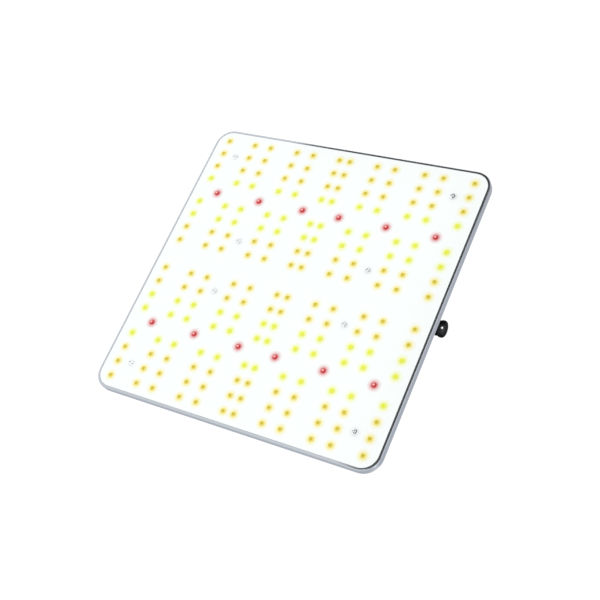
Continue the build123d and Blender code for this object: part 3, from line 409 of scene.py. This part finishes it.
def powder_coat(name, colour, roughness):
    """Powder coat: an orange-peel surface with fine specks."""
    s = Shader(name)
    peel = s.noise(700.0, detail=1.0)
    specks = s.noise(4000.0)
    s.set(Base_Color=s.mix(specks, *tones(colour, POWDER_TONES)))
    s.set(Roughness=s.between(peel, roughness - 0.07, roughness + 0.07))
    s.bump(s.mix(0.3, peel, specks), 2.5e-5)
    return s.material


def black_anodised(name):
    """Black anodised extrusion with long, fine die lines along X."""
    s = Shader(name)
    lines = s.noise(700.0, ALONG_X)
    patches = s.noise(18.0)
    s.set(Base_Color=s.mix(lines, *ANODISED_TONES), Metallic=0.55)
    s.set(Roughness=s.between(patches, 0.34, 0.46))
    s.bump(lines, 8e-6)
    return s.material


def clear_glass(name):
    """Thin, slightly green glass."""
    s = Shader(name)
    s.set(Base_Color=s.mix(s.noise(200.0), (0.8, 0.86, 0.86), (0.9, 0.95, 0.95)))
    s.set(Roughness=0.08, Transmission_Weight=0.6)
    return s.material


def make_materials():
    """One material for each slot that the frame's nodes name."""
    return {
        "tray_aluminium": tray_aluminium(),
        "fin_aluminium": metal("fin_aluminium", (0.66, 0.67, 0.69), 0.3, 700.0, ALONG_X, 8e-6),
        "white_board": white_board(),
        "grey_pad": plastic("grey_pad", (0.5, 0.54, 0.6), 0.7),
        "black_case": black_anodised("black_case"),
        "black_cap": powder_coat("black_cap", (0.028, 0.028, 0.031), 0.5),
        "black_rubber": plastic("black_rubber", (0.02, 0.02, 0.02), 0.75),
        "bright_steel": plated_screw("bright_steel"),
        "zinc_steel": metal("zinc_steel", (0.66, 0.67, 0.69), 0.34, 500.0, depth=8e-6),
        "ring_steel": metal("ring_steel", (0.78, 0.77, 0.76), 0.16, 1800.0),
        "led_case_white": led_case("led_case_white"),
        "warm_phosphor": phosphor("warm_phosphor", WARM_ROWS, *WARM_PHOSPHOR),
        "cool_phosphor": phosphor("cool_phosphor", COOL_ROWS, *COOL_PHOSPHOR),
        "red_base": red_base(),
        "red_lens": red_lens(),
        "knob_black": knob_plastic(),
        "marker_white": plastic("marker_white", (0.9, 0.9, 0.9), 0.4),
        "dark_steel": metal("dark_steel", (0.06, 0.06, 0.065), 0.4),
        "shaft_alloy": metal("shaft_alloy", (0.7, 0.7, 0.71), 0.3, 900.0, (1.0, 0.05, 0.05)),
        "pot_body": metal("pot_body", (0.55, 0.55, 0.53), 0.35),
        "inlet_black": plastic("inlet_black", (0.022, 0.022, 0.024), 0.42),
        "pin_brass": metal("pin_brass", (0.72, 0.69, 0.6), 0.25),
        "circuit_green": plastic("circuit_green", (0.02, 0.13, 0.045), 0.35),
        "terminal_plastic": plastic("terminal_plastic", (0.8, 0.78, 0.68), 0.45),
        "capacitor_sleeve": plastic("capacitor_sleeve", (0.025, 0.03, 0.06), 0.3),
        "choke_winding": metal("choke_winding", (0.55, 0.2, 0.06), 0.3, 1500.0, (1.0, 1.0, 0.1), 5e-5),
        "film_yellow": plastic("film_yellow", (0.72, 0.5, 0.04), 0.3),
        "ferrite": plastic("ferrite", (0.05, 0.05, 0.055), 0.55),
        "coil_tape": plastic("coil_tape", (0.75, 0.55, 0.08), 0.28),
        "chip_black": plastic("chip_black", (0.025, 0.025, 0.025), 0.5),
        "bar_aluminium": metal("bar_aluminium", (0.68, 0.68, 0.7), 0.35, 700.0, ALONG_X),
        "fuse_glass": clear_glass("fuse_glass"),
        "lead_red_black": plastic("lead_red_black", (0.42, 0.02, 0.015), 0.4),
        "lead_mains": plastic("lead_mains", (0.2, 0.12, 0.05), 0.4),
        "lead_dimmer": plastic("lead_dimmer", (0.4, 0.41, 0.43), 0.4),
    }


def dress_nodes(materials):
    """Give each node of the frame the material of its slot."""
    for row in frame["record"]["subparts"]:
        data = NODES[row["node"]].data
        data.materials.clear()
        data.materials.append(materials[row["material_slot"]])


# ================================================================ added pieces
def make_dial_ticks(material):
    """Raised white ticks on the dimmer's end cap, where the knob's marker points from full to off."""
    face_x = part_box("dimmer_end_cap")[1].x
    axis = Vector((face_x, 0, KNOB_AXIS_Z))
    corners, faces = [], []
    for k in range(TICK_COUNT):
        angle = radians(TICK_START + k * TICK_STEP)
        outward = Vector((0, -sin(angle), cos(angle)))
        across = Vector((0, cos(angle), sin(angle))) * TICK_WIDTH / 2
        first = len(corners)
        outline = [
            axis + outward * reach + across * side
            for reach, side in ((TICK_INNER, -1), (TICK_OUTER, -1), (TICK_OUTER, 1), (TICK_INNER, 1))
        ]
        corners += outline + [c + Vector((TICK_HEIGHT, 0, 0)) for c in outline]
        faces.append([first + i for i in (0, 1, 2, 3)])
        faces.append([first + i for i in (7, 6, 5, 4)])
        faces += [[first + i for i in (j, j + 4, (j + 1) % 4 + 4, (j + 1) % 4)] for j in range(4)]
    mesh = bpy.data.meshes.new("dial_ticks")
    mesh.from_pydata([tuple(c) for c in corners], [], faces)
    mesh.materials.append(material)
    ticks = bpy.data.objects.new("dial_ticks", mesh)
    bpy.context.scene.collection.objects.link(ticks)
    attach(ticks, "fixture")


# ================================================================ stage
def make_camera():
    """A camera below the light, to its right and behind it, looking up at the LEDs."""
    data = bpy.data.cameras.new("camera")
    data.lens = CAMERA_LENS
    data.sensor_width = SENSOR_WIDTH
    data.shift_x = CAMERA_SHIFT_X
    camera = bpy.data.objects.new("camera", data)
    bpy.context.scene.collection.objects.link(camera)
    level = (CAMERA_TARGET - CAMERA_PLACE).to_track_quat("-Z", "Y")
    camera.rotation_mode = "QUATERNION"
    camera.location = CAMERA_PLACE
    camera.rotation_quaternion = level @ Quaternion((0, 0, 1), radians(CAMERA_ROLL))
    bpy.context.scene.camera = camera


def make_world():
    """An even white studio, whose upper half is greyer in reflections."""
    world = bpy.data.worlds.new("studio")
    bpy.context.scene.world = world
    world.use_nodes = True
    tree = world.node_tree
    tree.nodes.clear()
    output = tree.nodes.new("ShaderNodeOutputWorld")
    background = tree.nodes.new("ShaderNodeBackground")
    background.inputs["Strength"].default_value = WORLD_STRENGTH
    direction = tree.nodes.new("ShaderNodeTexCoord")
    parts = tree.nodes.new("ShaderNodeSeparateXYZ")
    half = tree.nodes.new("ShaderNodeMath")
    half.operation = "MULTIPLY_ADD"
    half.inputs[1].default_value = 0.5
    half.inputs[2].default_value = 0.5
    ramp = tree.nodes.new("ShaderNodeValToRGB")
    for element, (place, colour) in zip(ramp.color_ramp.elements, (WORLD_LOW, WORLD_HIGH)):
        element.position = place
        element.color = (*colour, 1)
    path = tree.nodes.new("ShaderNodeLightPath")
    mix = tree.nodes.new("ShaderNodeMix")
    mix.data_type = "RGBA"
    mix.inputs[MIX_FIRST].default_value = (1, 1, 1, 1)
    tree.links.new(direction.outputs["Generated"], parts.inputs[0])
    tree.links.new(parts.outputs[2], half.inputs[0])
    tree.links.new(half.outputs[0], ramp.inputs[0])
    tree.links.new(path.outputs["Is Glossy Ray"], mix.inputs[MIX_FACTOR])
    tree.links.new(ramp.outputs[0], mix.inputs[MIX_SECOND])
    tree.links.new(mix.outputs[MIX_RESULT], background.inputs["Color"])
    tree.links.new(background.outputs[0], output.inputs["Surface"])


def make_sheet(name, centre, right, up, half_width, half_height):
    """A flat stage card, from its centre and two directions."""
    right, up = Vector(right).normalized(), Vector(up).normalized()
    corners = [
        Vector(centre) + right * (half_width * a) + up * (half_height * b)
        for a, b in ((-1, -1), (1, -1), (1, 1), (-1, 1))
    ]
    mesh = bpy.data.meshes.new(name)
    mesh.from_pydata([tuple(c) for c in corners], [], [(0, 1, 2, 3)])
    card = bpy.data.objects.new(name, mesh)
    bpy.context.scene.collection.objects.link(card)
    return card


def make_floor():
    """A pale floor that only the camera sees, so that the world's light from below reaches the board."""
    floor = make_sheet("floor", (0, 0, FLOOR_Z), (1, 0, 0), (0, 1, 0), FLOOR_HALF, FLOOR_HALF)
    s = Shader("pale_floor")
    s.set(Base_Color=s.mix(s.noise(3.0), (0.80, 0.80, 0.80), (0.83, 0.83, 0.83)), Roughness=0.7)
    floor.data.materials.append(s.material)
    floor.visible_diffuse = False
    floor.visible_glossy = False
    floor.visible_shadow = False


def make_black_cards():
    """Cards that draw the dark line along the metal rim and shade the screw heads, as in a studio."""
    s = Shader("black_card")
    s.set(Base_Color=s.mix(s.noise(5.0), (0.01, 0.01, 0.01), (0.02, 0.02, 0.02)), Roughness=0.9)
    for name, shape in BLACK_CARDS.items():
        card = make_sheet(name, *shape)
        card.data.materials.append(s.material)
        card.visible_camera = False
        card.visible_diffuse = False
        card.visible_transmission = False
        card.visible_shadow = False


def make_light(name, place, size, power):
    """A square soft light that the camera doesn't see."""
    data = bpy.data.lights.new(name, "AREA")
    data.size = size
    data.energy = power
    light = bpy.data.objects.new(name, data)
    bpy.context.scene.collection.objects.link(light)
    light.location = place
    light.rotation_mode = "QUATERNION"
    light.rotation_quaternion = (-Vector(place)).to_track_quat("-Z", "Y")
    light.visible_camera = False


def make_stage():
    """Camera, world, floor, cards and lights, none of them part of the object."""
    bpy.context.scene.view_settings.view_transform = "Standard"
    make_camera()
    make_world()
    make_floor()
    make_black_cards()
    for name, settings in LIGHTS.items():
        make_light(name, *settings)


# ================================================================ the scene
make_stage()
materials = make_materials()
dress_nodes(materials)
make_dial_ticks(materials["marker_white"])
